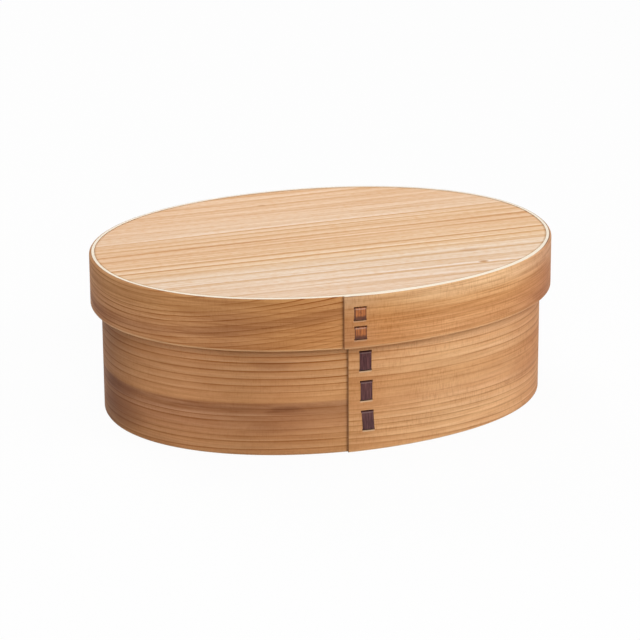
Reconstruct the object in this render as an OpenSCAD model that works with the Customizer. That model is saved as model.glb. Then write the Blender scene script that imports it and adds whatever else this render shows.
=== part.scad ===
// Oval lunch box of bent cedar, shown closed. The body and the cover lid are each
// one thin strip bent round an oval board, with its tapered ends lapped at the front
// and sewn through with a strip of cherry bark. A loose board divides the inside.
// X is the long way, the sewn seams face -Y, and the box stands on Z = 0.

/* [Body] */
// Outside length of the body, along X
body_l = 171.6; // [140:0.2:210]
// Outside width of the body, along Y
body_w = 127; // [100:0.5:160]
// Height of the body, from the table to its rim
body_h = 58.6; // [50:0.2:80]
// Fullness of the oval: 2 is an ellipse, and more is squarer
fullness = 2.1; // [2:0.05:2.6]
// Thickness of the bent strips
wall = 3.2; // [2.6:0.1:4.5]

/* [Lap seams] */
// Where the outer end of the body's strip lies, along X
seam_x = -11; // [-25:0.5:5]
// How far the lid's seam lies to the left of the body's seam
seam_stagger = 2.45; // [0:0.05:6]
// Length of the tapered overlap
lap_l = 45; // [30:1:60]
// Thickness left at a strip's tapered end
end_t = 0.7; // [0.4:0.05:1.2]
// Thickness of the glue line between the two layers
glue_t = 0.05; // [0.02:0.01:0.1]

/* [Boards] */
// Thickness of the bottom board
bottom_t = 5; // [3:0.5:8]
// How far the bottom board sits above the table
foot_h = 1; // [0.4:0.1:3]
// Thickness of the lid's board
lid_board_t = 3.7; // [2.5:0.1:6]
// How far the lid's strip stands above its board
lip_h = 0.1; // [0.1:0.1:1.5]
// How far a board is let into its strip
rabbet = 1.2; // [0.8:0.1:1.8]
// Glue gap round a board
board_fit = 0.05; // [0.02:0.01:0.2]

/* [Lid] */
// Height of the lid's strip
lid_h = 20.2; // [16:0.2:28]
// Clearance of the lid round the body where the laps meet
lid_fit = 0.2; // [0.15:0.05:1]
// Gap between the body's rim and the lid's board
seat_gap = 0.05; // [0.02:0.01:0.3]

/* [Bark sewing] */
// Width of the bark strips
bark_w = 4.5; // [3:0.1:6]
// Thickness of the bark strips
bark_t = 0.5; // [0.3:0.05:0.8]
// Clearance of the bark in its slits and grooves
slit_fit = 0.1; // [0.05:0.05:0.2]
// How far a slit is cut past each side of the bark
slit_past = 0.4; // [0.1:0.1:1]
// Gap between the wall and a stitch that lies on it
bark_lift = 0.05; // [0.04:0.01:0.2]
// Length of bark tucked away inside at each end of the sewing
bark_tail = 2.5; // [1:0.1:3]
// Number of stitches on the body
body_stitches = 3; // [2:1:4]
// Gap between the body's stitches
body_stitch_gap = 4.1; // [2:0.1:6]
// Middle of the body's bark, measured from the end of the strip
body_sew_in = 6.8; // [5:0.1:15]
// Height of the lowest stitch above the bottom board
sew_above_board = 2.15; // [0.8:0.05:4]
// Height of the top stitch below the lid's edge
sew_below_lid = 3; // [1:0.1:6]
// Number of stitches on the lid
lid_stitches = 2; // [1:1:3]
// Gap between the lid's stitches
lid_stitch_gap = 2.4; // [1.5:0.1:3]
// Middle of the lid's bark, measured from the end of the strip
lid_sew_in = 5.8; // [5:0.1:15]
// Height of the lid's lowest stitch above its edge
lid_sew_edge = 3.2; // [1.5:0.1:4]
// Depth of the lid's top stitch below its board
lid_sew_board = 0.7; // [0.5:0.1:3]

/* [Divider] */
// Thickness of the divider
divider_t = 3; // [2:0.5:5]
// Height of the divider
divider_h = 44; // [30:1:48]
// Where the divider stands, along X
divider_x = 22; // [10:1:40]
// Clearance at each end of the divider
divider_fit = 0.3; // [0.2:0.1:1]

/* [Hidden] */

strip_cedar = [0.82, 0.60, 0.41];
board_cedar = [0.90, 0.72, 0.55];
dark_bark = [0.31, 0.21, 0.22];
light_bark = [0.72, 0.47, 0.29];

// Corners along a lap, along the rest of a strip and round a board
lap_steps = 14;
round_steps = 166;
board_steps = 180;
// Halvings that find the point of an oval with a given X
search_steps = 40;
// How far a cut runs past the face that it opens
cut_past = 1;

half_l = body_l / 2;
half_w = body_w / 2;
lap_step = end_t + glue_t;

// Room from the body's outside to the lid's inside, which clears both laps
lid_gap = lid_fit + lap_step * (1 + seam_stagger / lap_l);
lid_out = lid_gap + wall;
lid_seam_x = seam_x - seam_stagger;

floor_z = foot_h + bottom_t;
lid_seat_z = body_h + seat_gap;
lid_top_z = lid_seat_z + lid_board_t + lip_h;
lid_edge_z = lid_top_z - lid_h;

// The oval that every piece follows is the body's outside, with its angle in degrees
function signed_pow(value, power) = sign(value) * pow(abs(value), power);
function oval(angle) = [
    half_l * signed_pow(cos(angle), 2 / fullness),
    half_w * signed_pow(sin(angle), 2 / fullness)
];
function outward(angle) =
    let (slope = [
        signed_pow(cos(angle), 2 - 2 / fullness) / half_l,
        signed_pow(sin(angle), 2 - 2 / fullness) / half_w
    ])
    slope / norm(slope);
function beside(angle, off) = oval(angle) + off * outward(angle);

// Angle at the front of the oval that has this X
function front_angle(x) = 360 - acos(signed_pow(x / half_l, fullness / 2));

// Half the width, at this X, of the oval set off by a distance
function half_width(x, off, low = 0, high = 180, left = search_steps) =
    let (angle = (low + high) / 2, point = beside(angle, off))
    left == 0 ? point[1]
    : point[0] > x ? half_width(x, off, angle, high, left - 1)
    : half_width(x, off, low, angle, left - 1);

// Outer and inner face of a strip where it laps over its other end, and where it
// lies under it, as distances from the strip's plain outside; u runs from 0 to 1
function blend(from, to, u) = from + (to - from) * u;
function over_faces(u) = [blend(lap_step, 0, u), blend(glue_t, -wall, u)];
function under_faces(u) = [blend(0, -wall - glue_t, u), blend(-wall, -wall - lap_step, u)];

// Angles along a strip with its two faces, from its outer end round to its inner end
function stations(seam) =
    let (start = front_angle(seam), lap = front_angle(seam + lap_l) - start)
    concat(
        [for (i = [0 : lap_steps - 1])
            let (u = i / lap_steps) [start + lap * u, over_faces(u)]],
        [for (i = [0 : round_steps])
            [start + lap + (360 - lap) * i / round_steps, [0, -wall]]],
        [for (i = [1 : lap_steps])
            let (u = i / lap_steps) [start + 360 + lap * u, under_faces(u)]]
    );

function strip_outline(seam, off) =
    let (places = stations(seam), last = len(places) - 1)
    concat(
        [for (place = places) beside(place[0], off + place[1][0])],
        [for (i = [last : -1 : 0]) beside(places[i][0], off + places[i][1][1])]
    );

function board_outline(off) =
    [for (i = [0 : board_steps - 1]) beside(360 * i / board_steps, off)];

// Heights of a row of stitches, as [low, high] from the top one down
function stitches(low, high, count, gap) =
    let (length = (high - low - (count - 1) * gap) / count)
    [for (i = [0 : count - 1])
        let (top = high - i * (length + gap)) [top - length, top]];

// Heights of the bark's runs inside: a tail, the runs between stitches, and a tail
function inner_runs(rows) =
    let (last = len(rows) - 1)
    concat(
        [[rows[0][1] - bark_tail, rows[0][1]]],
        [for (i = [1 : 1 : last]) [rows[i][1] - bark_t, rows[i - 1][0] + bark_t]],
        [[rows[last][0], rows[last][0] + bark_tail]]
    );

// The bark seen along the wall, one ribbon that runs out and in from tail to tail:
// a and b are its faces inside the wall, and c and d its faces outside
function bark_outline(rows, faces) =
    let (
        last = len(rows) - 1,
        a = faces[1], b = a + bark_t,
        c = faces[0] + bark_lift, d = c + bark_t
    )
    concat(
        [[a, rows[0][1] - bark_tail], [a, rows[0][1]]],
        [for (i = [0 : last]) each concat(
            [[d, rows[i][1]], [d, rows[i][0]]],
            i < last ? [[b, rows[i][0]], [b, rows[i + 1][1]]] : []
        )],
        [[a, rows[last][0]], [a, rows[last][0] + bark_tail]],
        [[b, rows[last][0] + bark_tail], [b, rows[last][0] + bark_t]],
        [for (i = [last : -1 : 0]) each concat(
            [[c, rows[i][0] + bark_t], [c, rows[i][1] - bark_t]],
            i > 0 ? [[a, rows[i][1] - bark_t], [a, rows[i - 1][0] + bark_t]] : []
        )],
        [[b, rows[0][1] - bark_t], [b, rows[0][1] - bark_tail]]
    );

body_rows = stitches(
    floor_z + sew_above_board, lid_edge_z - sew_below_lid,
    body_stitches, body_stitch_gap
);
lid_rows = stitches(
    lid_edge_z + lid_sew_edge, lid_seat_z - lid_sew_board,
    lid_stitches, lid_stitch_gap
);

// Outer and inner face of the lapped wall where the bark goes through it
function sewn_faces(sew_in, off) =
    let (u = sew_in / lap_l)
    [off + over_faces(u)[0], off + under_faces(u)[1]];

// Stands its children at the front of the oval, with local +X pointing outwards
module at_seam(x) {
    angle = front_angle(x);
    out = outward(angle);
    translate(oval(angle)) rotate(atan2(out[1], out[0])) children();
}

module bark(rows, faces) {
    rotate([90, 0, 0]) linear_extrude(bark_w, center = true)
        polygon(bark_outline(rows, faces));
}

// A cut for the bark between two distances from the oval and two heights
module bark_cut(inner, outer, low, high, side) {
    width = bark_w + 2 * side;
    translate([inner, -width / 2, low - slit_fit])
        cube([outer - inner, width, high - low + 2 * slit_fit]);
}

// Slits through the wall, and the grooves that let the inner runs lie flush
module bark_cuts(rows, faces) {
    inner = faces[1] - cut_past;
    for (row = rows, low = [row[0], row[1] - bark_t])
        bark_cut(inner, faces[0] + cut_past, low, low + bark_t, slit_past);
    for (run = inner_runs(rows))
        bark_cut(inner, faces[1] + bark_t + slit_fit, run[0], run[1], slit_fit);
}

module prism(outline, low, high) {
    translate([0, 0, low]) linear_extrude(high - low) polygon(outline);
}

module body_strip() {
    color(strip_cedar) difference() {
        prism(strip_outline(seam_x, 0), 0, body_h);
        prism(board_outline(rabbet - wall), -cut_past, floor_z);
        at_seam(seam_x + body_sew_in) bark_cuts(body_rows, sewn_faces(body_sew_in, 0));
    }
}

module bottom_board() {
    color(board_cedar)
        prism(board_outline(rabbet - wall - board_fit), foot_h, floor_z - board_fit);
}

module body_bark() {
    color(dark_bark) at_seam(seam_x + body_sew_in)
        bark(body_rows, sewn_faces(body_sew_in, 0));
}

module lid_strip() {
    color(strip_cedar) difference() {
        prism(strip_outline(lid_seam_x, lid_out), lid_edge_z, lid_top_z);
        prism(board_outline(lid_gap + rabbet), lid_seat_z, lid_top_z + cut_past);
        at_seam(lid_seam_x + lid_sew_in) bark_cuts(lid_rows, sewn_faces(lid_sew_in, lid_out));
    }
}

module lid_board() {
    color(board_cedar)
        prism(board_outline(lid_gap + rabbet - board_fit), lid_seat_z, lid_top_z - lip_h);
}

module lid_bark() {
    color(light_bark) at_seam(lid_seam_x + lid_sew_in)
        bark(lid_rows, sewn_faces(lid_sew_in, lid_out));
}

// The divider's ends follow the walls, and its front end clears the lap inside
module divider() {
    left = divider_x - divider_t / 2;
    right = divider_x + divider_t / 2;
    room_left = half_width(left, -wall) - divider_fit;
    room_right = half_width(right, -wall) - divider_fit;
    low = floor_z + seat_gap;
    color(board_cedar) prism(
        [
            [left, room_left], [right, room_right],
            [right, lap_step - room_right], [left, lap_step - room_left]
        ],
        low, low + divider_h
    );
}

body_strip();
bottom_board();
body_bark();
lid_strip();
lid_board();
lid_bark();
divider();
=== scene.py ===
import bisect
import math

import bmesh
import bpy
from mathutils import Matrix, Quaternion, Vector


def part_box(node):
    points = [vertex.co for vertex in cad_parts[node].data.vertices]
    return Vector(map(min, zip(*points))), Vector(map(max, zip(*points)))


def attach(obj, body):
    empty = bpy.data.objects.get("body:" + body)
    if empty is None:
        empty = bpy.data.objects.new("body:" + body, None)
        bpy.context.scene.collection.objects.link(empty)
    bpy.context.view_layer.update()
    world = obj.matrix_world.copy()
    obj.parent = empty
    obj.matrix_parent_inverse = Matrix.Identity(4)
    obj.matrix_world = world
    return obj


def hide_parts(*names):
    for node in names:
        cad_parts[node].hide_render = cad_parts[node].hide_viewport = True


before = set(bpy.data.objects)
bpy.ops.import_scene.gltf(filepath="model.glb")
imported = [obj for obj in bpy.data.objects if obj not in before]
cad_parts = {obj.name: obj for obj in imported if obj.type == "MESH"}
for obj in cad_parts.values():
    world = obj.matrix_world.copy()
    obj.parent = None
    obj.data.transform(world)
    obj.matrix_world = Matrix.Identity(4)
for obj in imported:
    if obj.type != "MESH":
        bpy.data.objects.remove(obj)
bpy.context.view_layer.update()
scene = bpy.context.scene
scene.view_settings.view_transform = "Standard"
mm = 0.001
tiny = 1e-6
sharpAngle = math.radians(40)
print("frame loaded with", len(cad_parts), "nodes")

photoCamera = {
    "target": (0, 0, 31.245 * mm),
    "azimuth": -18.1,
    "elevation": 19.291,
    "distance": 1171.75 * mm,
    "roll": -0.331,
    "lens": 170.42,
    "shift": (-0.0038, -0.0063),
}


def placeCamera(view):
    azimuth = math.radians(view["azimuth"])
    elevation = math.radians(view["elevation"])
    back = Vector((
        math.sin(azimuth) * math.cos(elevation),
        -math.cos(azimuth) * math.cos(elevation),
        math.sin(elevation),
    ))
    lens = bpy.data.cameras.new("photoCamera")
    lens.lens = view["lens"]
    lens.shift_x, lens.shift_y = view["shift"]
    camera = bpy.data.objects.new("photoCamera", lens)
    camera.location = Vector(view["target"]) + back * view["distance"]
    aim = (-back).to_track_quat("-Z", "Y")
    roll = Quaternion((0, 0, 1), math.radians(view["roll"]))
    camera.rotation_euler = (aim @ roll).to_euler()
    scene.collection.objects.link(camera)
    scene.camera = camera


placeCamera(photoCamera)
print("camera placed")


def fillRamp(ramp, stops):
    for place, colour in stops[1:-1]:
        ramp.elements.new(place)
    for element, (place, colour) in zip(ramp.elements, stops):
        element.position = place
        element.color = colour


class Wire:
    # One socket of a material. Arithmetic on wires adds Math nodes.
    def __init__(self, tree, socket=None):
        self.tree = tree
        self.socket = socket

    def node(self, kind, settings=None, sockets=None, out=0):
        made = self.tree.nodes.new(kind)
        for name, value in (settings or {}).items():
            if name == "stops":
                fillRamp(made.color_ramp, value)
            else:
                setattr(made, name, value)
        for name, value in (sockets or {}).items():
            if isinstance(value, Wire):
                self.tree.links.new(value.socket, made.inputs[name])
            else:
                made.inputs[name].default_value = value
        return Wire(self.tree, made.outputs[out] if made.outputs else None)

    def math(self, operation, *values):
        return self.node("ShaderNodeMath", {"operation": operation}, dict(enumerate(values)))

    def __add__(self, other):
        return self.math("ADD", self, other)

    def __radd__(self, other):
        return self.math("ADD", other, self)

    def __sub__(self, other):
        return self.math("SUBTRACT", self, other)

    def __rsub__(self, other):
        return self.math("SUBTRACT", other, self)

    def __mul__(self, other):
        return self.math("MULTIPLY", self, other)

    def __rmul__(self, other):
        return self.math("MULTIPLY", other, self)

    def __truediv__(self, other):
        return self.math("DIVIDE", self, other)

    def larger(self, other):
        return self.math("MAXIMUM", self, other)

    def ramp(self, start, end):
        # 0 at start and 1 at end, eased, whichever of the two is the larger
        return self.node(
            "ShaderNodeMapRange",
            {"interpolation_type": "SMOOTHSTEP"},
            {"Value": self, "From Min": start, "From Max": end},
        )

    def parts(self):
        split = self.node("ShaderNodeSeparateXYZ", None, {"Vector": self})
        return [Wire(self.tree, socket) for socket in split.socket.node.outputs]

    def noise(self, stretch, detail=2.0, seed=0.0):
        place = self.node(
            "ShaderNodeVectorMath",
            {"operation": "MULTIPLY_ADD"},
            {0: self, 1: stretch, 2: (seed, seed, seed)},
        )
        return self.node("ShaderNodeTexNoise", None, {"Vector": place, "Scale": 1.0, "Detail": detail})

    def stops(self, colours):
        # the colour at this level, blended evenly between the levels given
        low = colours[0][0]
        span = colours[-1][0] - low
        places = [((level - low) / span, colour) for level, colour in colours]
        return self.node("ShaderNodeValToRGB", {"stops": places}, {"Fac": (self - low) / span})

    def mix(self, first, second, blend="MIX"):
        # this wire is the share of the second colour
        return self.node(
            "ShaderNodeMix",
            {"data_type": "RGBA", "blend_type": blend},
            {0: self, 6: first, 7: second},
            2,
        )


def newMaterial(name):
    material = bpy.data.materials.new(name)
    material.use_nodes = True
    material.node_tree.nodes.clear()
    return material, Wire(material.node_tree)


def finishMaterial(root, sockets):
    shader = root.node("ShaderNodeBsdfPrincipled", None, sockets)
    root.node("ShaderNodeOutputMaterial", None, {"Surface": shader})


def tinted(wood, layers):
    # Darkens, warms or pales the wood by each share and tint in turn.
    for share, tint in layers:
        wood = share.mix(wood, tint, "MULTIPLY")
    return wood


def spotted(wood, along, across, spots, tint):
    # Oval marks, each given by its centre, half its length and width, and its strength.
    for (spotAlong, spotAcross), (halfLength, halfWidth), strength in spots:
        lengthwise = (along - spotAlong) / halfLength
        crosswise = (across - spotAcross) / halfWidth
        inside = (lengthwise * lengthwise + crosswise * crosswise).ramp(1.0, 0.0)
        wood = (inside * strength).mix(wood, tint, "MULTIPLY")
    return wood


def grainRings(level, rings, sharp):
    # Year rings between the late lines given as (level, strength). Gives the way through a ring, which is
    # 1 at its late line, and the strengths of the line that ends it and of the line before it.
    low, before = rings[0]
    start = low
    stops = []
    for end, strength in rings[1:]:
        stops.append((start - low + sharp, (0, strength, before, 1)))
        stops.append((end - low, (1, strength, before, 1)))
        start, before = end, strength
    place = level.math("FLOORED_MODULO", level - low, start - low)
    return place.stops(stops).parts()


# The oval that every piece follows is the outside of the body, seen from above.
bodyLow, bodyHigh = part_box("body_strip")
lidLow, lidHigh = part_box("lid_strip")
oval = {"halfLength": bodyHigh.x, "halfWidth": bodyHigh.y, "fullness": 2.1}


def signedPower(value, power):
    return math.copysign(abs(value) ** power, value)


def beside(angle, off):
    # the place that lies off outwards from the oval at this angle
    power = 2 / oval["fullness"]
    east = math.cos(angle)
    north = math.sin(angle)
    place = Vector((
        oval["halfLength"] * signedPower(east, power),
        oval["halfWidth"] * signedPower(north, power),
    ))
    outward = Vector((
        signedPower(east, 2 - power) / oval["halfLength"],
        signedPower(north, 2 - power) / oval["halfWidth"],
    ))
    return place + outward.normalized() * off


def frontAngle(east):
    return 2 * math.pi - math.acos(signedPower(east / oval["halfLength"], oval["fullness"] / 2))


lap = {"length": 45 * mm, "endThickness": 0.7 * mm, "glueLine": 0.05 * mm}
lapStep = lap["endThickness"] + lap["glueLine"]


def makePath(strip):
    # Lengths along a strip from its outer end, and the oval's angles at which they lie.
    start = frontAngle(strip["seamX"])
    lapTurn = frontAngle(strip["seamX"] + lap["length"]) - start
    steps = 4000
    angles = [start]
    lengths = [0.0]
    last = beside(start, strip["off"])
    for step in range(steps):
        angle = start + (2 * math.pi + lapTurn) * (step + 1) / steps
        place = beside(angle, strip["off"])
        angles.append(angle)
        lengths.append(lengths[-1] + (place - last).length)
        last = place
    return {"start": start, "lapTurn": lapTurn, "angles": angles, "lengths": lengths}


def lookUp(keys, values, key):
    step = min(max(bisect.bisect_right(keys, key), 1), len(keys) - 1)
    share = (key - keys[step - 1]) / (keys[step] - keys[step - 1])
    return values[step - 1] + (values[step] - values[step - 1]) * share


def angleAt(path, length):
    return lookUp(path["lengths"], path["angles"], length)


def lengthAt(path, angle):
    return lookUp(path["angles"], path["lengths"], angle)


def layerFaces(path, wall, angle):
    # The outer and inner face of a strip at an angle, off its plain outside. Its outer end tapers over
    # its inner end.
    turn = angle - path["start"]
    under = (turn - 2 * math.pi) / path["lapTurn"]
    if under > 0:
        return -(wall + lap["glueLine"]) * under, -wall - lapStep * under
    over = min(turn / path["lapTurn"], 1)
    return lapStep * (1 - over), lap["glueLine"] - (wall + lap["glueLine"]) * over


def finishPiece(bm, piece, material):
    bmesh.ops.recalc_face_normals(bm, faces=bm.faces[:])
    mesh = bpy.data.meshes.new(piece["name"])
    bm.to_mesh(mesh)
    bm.free()
    mesh.materials.append(material)
    mesh.set_sharp_from_angle(angle=sharpAngle)
    made = bpy.data.objects.new(piece["name"], mesh)
    scene.collection.objects.link(made)
    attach(made, piece["body"])
    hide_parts(piece["node"])
    print(piece["name"], "made with", len(mesh.polygons), "faces")


def movedVerts(geom):
    return [part for part in geom if isinstance(part, bmesh.types.BMVert)]


def vertNear(bm, place):
    return min(bm.verts, key=lambda vert: (vert.co - Vector(place)).length)


def bridgeRims(bm):
    bmesh.ops.bridge_loops(bm, edges=[edge for edge in bm.edges if edge.is_boundary])


def drawOut(bm, faces, move, capped=False):
    # Moves a copy of some faces and bridges it to them. Extrusion makes its sides in another order each run.
    copied = bmesh.ops.duplicate(bm, geom=faces)
    bmesh.ops.translate(bm, verts=movedVerts(copied["geom"]), vec=move)
    if not capped:
        bmesh.ops.delete(bm, geom=faces, context="FACES")
    bridgeRims(bm)


def flatStrip(strip, path):
    # The strip before it is bent: X is the length along it, Y the depth (0 outside) and Z the height.
    bm = bmesh.new()
    wall = strip["wall"]
    lip = strip["lip"]
    outline = (
        (0, strip["lipEnd"], "lipOuter"),
        (0, strip["ledge"], None),
        (0, strip["plainEnd"], "plainOuter"),
        (-wall, strip["plainEnd"], "plainInner"),
        (-wall, strip["ledge"], None),
        (-lip, strip["ledge"], None),
        (-lip, strip["lipEnd"], "lipInner"),
    )
    corners = [bm.verts.new((0, depth, height)) for depth, height, name in outline]
    bm.faces.new(corners)
    for vert, (depth, height, name) in zip(corners, outline):
        if name:
            bmesh.ops.bevel(
                bm, geom=[vert], offset=strip["round"][name], segments=4,
                profile=0.5, affect="VERTICES", material=-1,
            )

    # The lip of the inner end stops where it has tapered to a thin edge.
    inner = (lip - strip["lipThin"]) / (wall + lap["glueLine"])
    lipStop = lengthAt(path, path["start"] + 2 * math.pi + path["lapTurn"] * inner)
    drawOut(bm, bm.faces[:], (lipStop, 0, 0), capped=True)
    ends = [vertNear(bm, (lipStop, depth, strip["ledge"])) for depth in (0, -lip)]
    bmesh.ops.connect_verts(bm, verts=ends)
    rest = [
        face for face in bm.faces
        if all(abs(vert.co.x - lipStop) < tiny for vert in face.verts)
        and max(abs(vert.co.z - strip["plainEnd"]) for vert in face.verts)
        < abs(strip["ledge"] - strip["plainEnd"]) + tiny
    ]
    tail = path["lengths"][-1] - lipStop
    drawOut(bm, rest, (tail, 0, 0))

    # Loops that keep the rounded edges tight, then the steps along the strip.
    for height, away in ((strip["lipEnd"], 1), (strip["plainEnd"], -1)):
        side = math.copysign(away, strip["plainEnd"] - strip["lipEnd"])
        bmesh.ops.bisect_plane(
            bm, geom=bm.verts[:] + bm.edges[:] + bm.faces[:], dist=tiny,
            plane_co=(0, 0, height + side * strip["holdLoop"]), plane_no=(0, 0, 1),
        )
    for cuts, span in ((strip["steps"], lipStop), (strip["lapSteps"], tail)):
        edges = [
            edge for edge in bm.edges
            if abs(abs(edge.verts[0].co.x - edge.verts[1].co.x) - span) < tiny
        ]
        bmesh.ops.subdivide_edges(bm, edges=edges, cuts=cuts, use_grid_fill=True)
    return bm


def facesAt(bm, depth, low, high, whole):
    # The faces on one side of a flat strip, in a stretch of its length.
    found = []
    for face in bm.faces:
        if all(abs(vert.co.y - depth) < tiny for vert in face.verts):
            places = [vert.co.x for vert in face.verts]
            if whole and min(places) > low - tiny and max(places) < high + tiny:
                found.append(face)
            if not whole and max(places) > low and min(places) < high:
                found.append(face)
    return found


def cutWindow(bm, depth, window):
    # Cuts one side of a flat strip along the four edges of a window, and gives the faces in it.
    low, high, bottom, top = window
    for place, normal in (
        ((low, 0, 0), (1, 0, 0)),
        ((high, 0, 0), (1, 0, 0)),
        ((0, 0, bottom), (0, 0, 1)),
        ((0, 0, top), (0, 0, 1)),
    ):
        faces = facesAt(bm, depth, low, high, normal[2] == 1)
        geom = faces[:]
        geom.extend(dict.fromkeys(edge for face in faces for edge in face.edges))
        geom.extend(dict.fromkeys(vert for face in faces for vert in face.verts))
        bmesh.ops.bisect_plane(bm, geom=geom, dist=tiny, plane_co=place, plane_no=normal)
    return [
        face for face in facesAt(bm, depth, low, high, True)
        if bottom < face.calc_center_median().z < top
    ]


def cutThrough(bm, outerDepth, innerDepth, window):
    faces = cutWindow(bm, outerDepth, window) + cutWindow(bm, innerDepth, window)
    bmesh.ops.delete(bm, geom=faces, context="FACES")
    bridgeRims(bm)


def stitchRows(sewing):
    # The low and high end of each stitch, from the top one down.
    low, high = sewing["heights"]
    length = (high - low - (sewing["count"] - 1) * sewing["gap"]) / sewing["count"]
    tops = [high - row * (length + sewing["gap"]) for row in range(sewing["count"])]
    return [(top - length, top) for top in tops]


def innerRuns(sewing):
    # The low and high end of each run of bark inside: a tail, the runs between stitches and a tail.
    rows = stitchRows(sewing)
    thick = sewing["thickness"]
    runs = [(rows[0][1] - sewing["tail"], rows[0][1])]
    runs.extend((below[1] - thick, above[0] + thick) for above, below in zip(rows, rows[1:]))
    runs.append((rows[-1][0], rows[-1][0] + sewing["tail"]))
    return runs


def slitPlaces(sewing):
    # The low and high edge of each slit, and how far its stitch stands off the middle there.
    fit = sewing["fit"]
    thick = sewing["thickness"]
    places = []
    for (low, high), shift, lean in zip(stitchRows(sewing), sewing["shift"], sewing["lean"]):
        places.append((low - fit, low + thick + fit, shift + lean))
        places.append((high - thick - fit, high + sewing["slitOpen"], shift))
    return places


def sewSlits(bm, strip, path, sewing):
    # Slits through both layers of the lap, and grooves inside for the runs between the stitches.
    wall = strip["wall"]
    angle = frontAngle(strip["seamX"] + sewing["seamToMiddle"])
    outside = lengthAt(path, angle)
    inside = lengthAt(path, angle + 2 * math.pi)
    half = sewing["width"] / 2 + sewing["past"]
    for bottom, top, off in slitPlaces(sewing):
        cutThrough(bm, 0, -wall, (outside + off - half, outside + off + half, bottom, top))
    half = sewing["width"] / 2 + sewing["fit"]
    sink = sewing["grooveDepth"]
    for bottom, top in innerRuns(sewing):
        window = (inside - half, inside + half, bottom - sewing["fit"], top + sewing["fit"])
        drawOut(bm, cutWindow(bm, -wall, window), (0, sink, 0))
    for bottom, top, off in slitPlaces(sewing):
        cutThrough(bm, 0, sink - wall, (inside - half, inside + half, bottom, top))
    # Faces with more than four corners get a point in the middle, but not those that lie across the strip.
    bm.normal_update()
    manySided = [face for face in bm.faces if len(face.verts) > 4 and abs(face.normal.x) < 0.5]
    bmesh.ops.poke(bm, faces=manySided)


def bendStrip(bm, strip, path):
    # Bends the flat strip round the oval, and keeps each point's flat place for the grain.
    grain = bm.verts.layers.float_vector.new("flatGrain")
    wall = strip["wall"]
    lip = strip["lip"]
    lipEnd = strip["lipEnd"]
    rounded = strip["round"]["lipOuter"] + tiny
    side = math.copysign(1, lipEnd - strip["ledge"])
    seamAt = lengthAt(path, path["start"] + 2 * math.pi)
    for vert in bm.verts:
        length, depth, height = vert.co
        # Under the outer end the lip's rounded edge is planed level, so that no groove shows between them.
        if abs(height - lipEnd) < rounded and depth > -rounded:
            covered = min(max((length - seamAt) / strip["levelOver"], 0), 1)
            height = lipEnd + (height - lipEnd) * (1 - covered * strip["levelled"])
        vert[grain] = (length, depth, height)
        angle = angleAt(path, length)
        outer, inner = layerFaces(path, wall, angle)
        share = -depth / wall
        if (height - strip["ledge"]) * side > -tiny and depth > -lip - tiny:
            inner = min(max(inner, -lip), outer)
            share = -depth / lip
        place = beside(angle, strip["off"] + outer + (inner - outer) * share)
        vert.co = (place.x, place.y, height)
    bmesh.ops.remove_doubles(bm, verts=bm.verts[:], dist=strip["weld"])
    bmesh.ops.dissolve_degenerate(bm, edges=bm.edges[:], dist=tiny)
    for face in bm.faces:
        face.smooth = True


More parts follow.
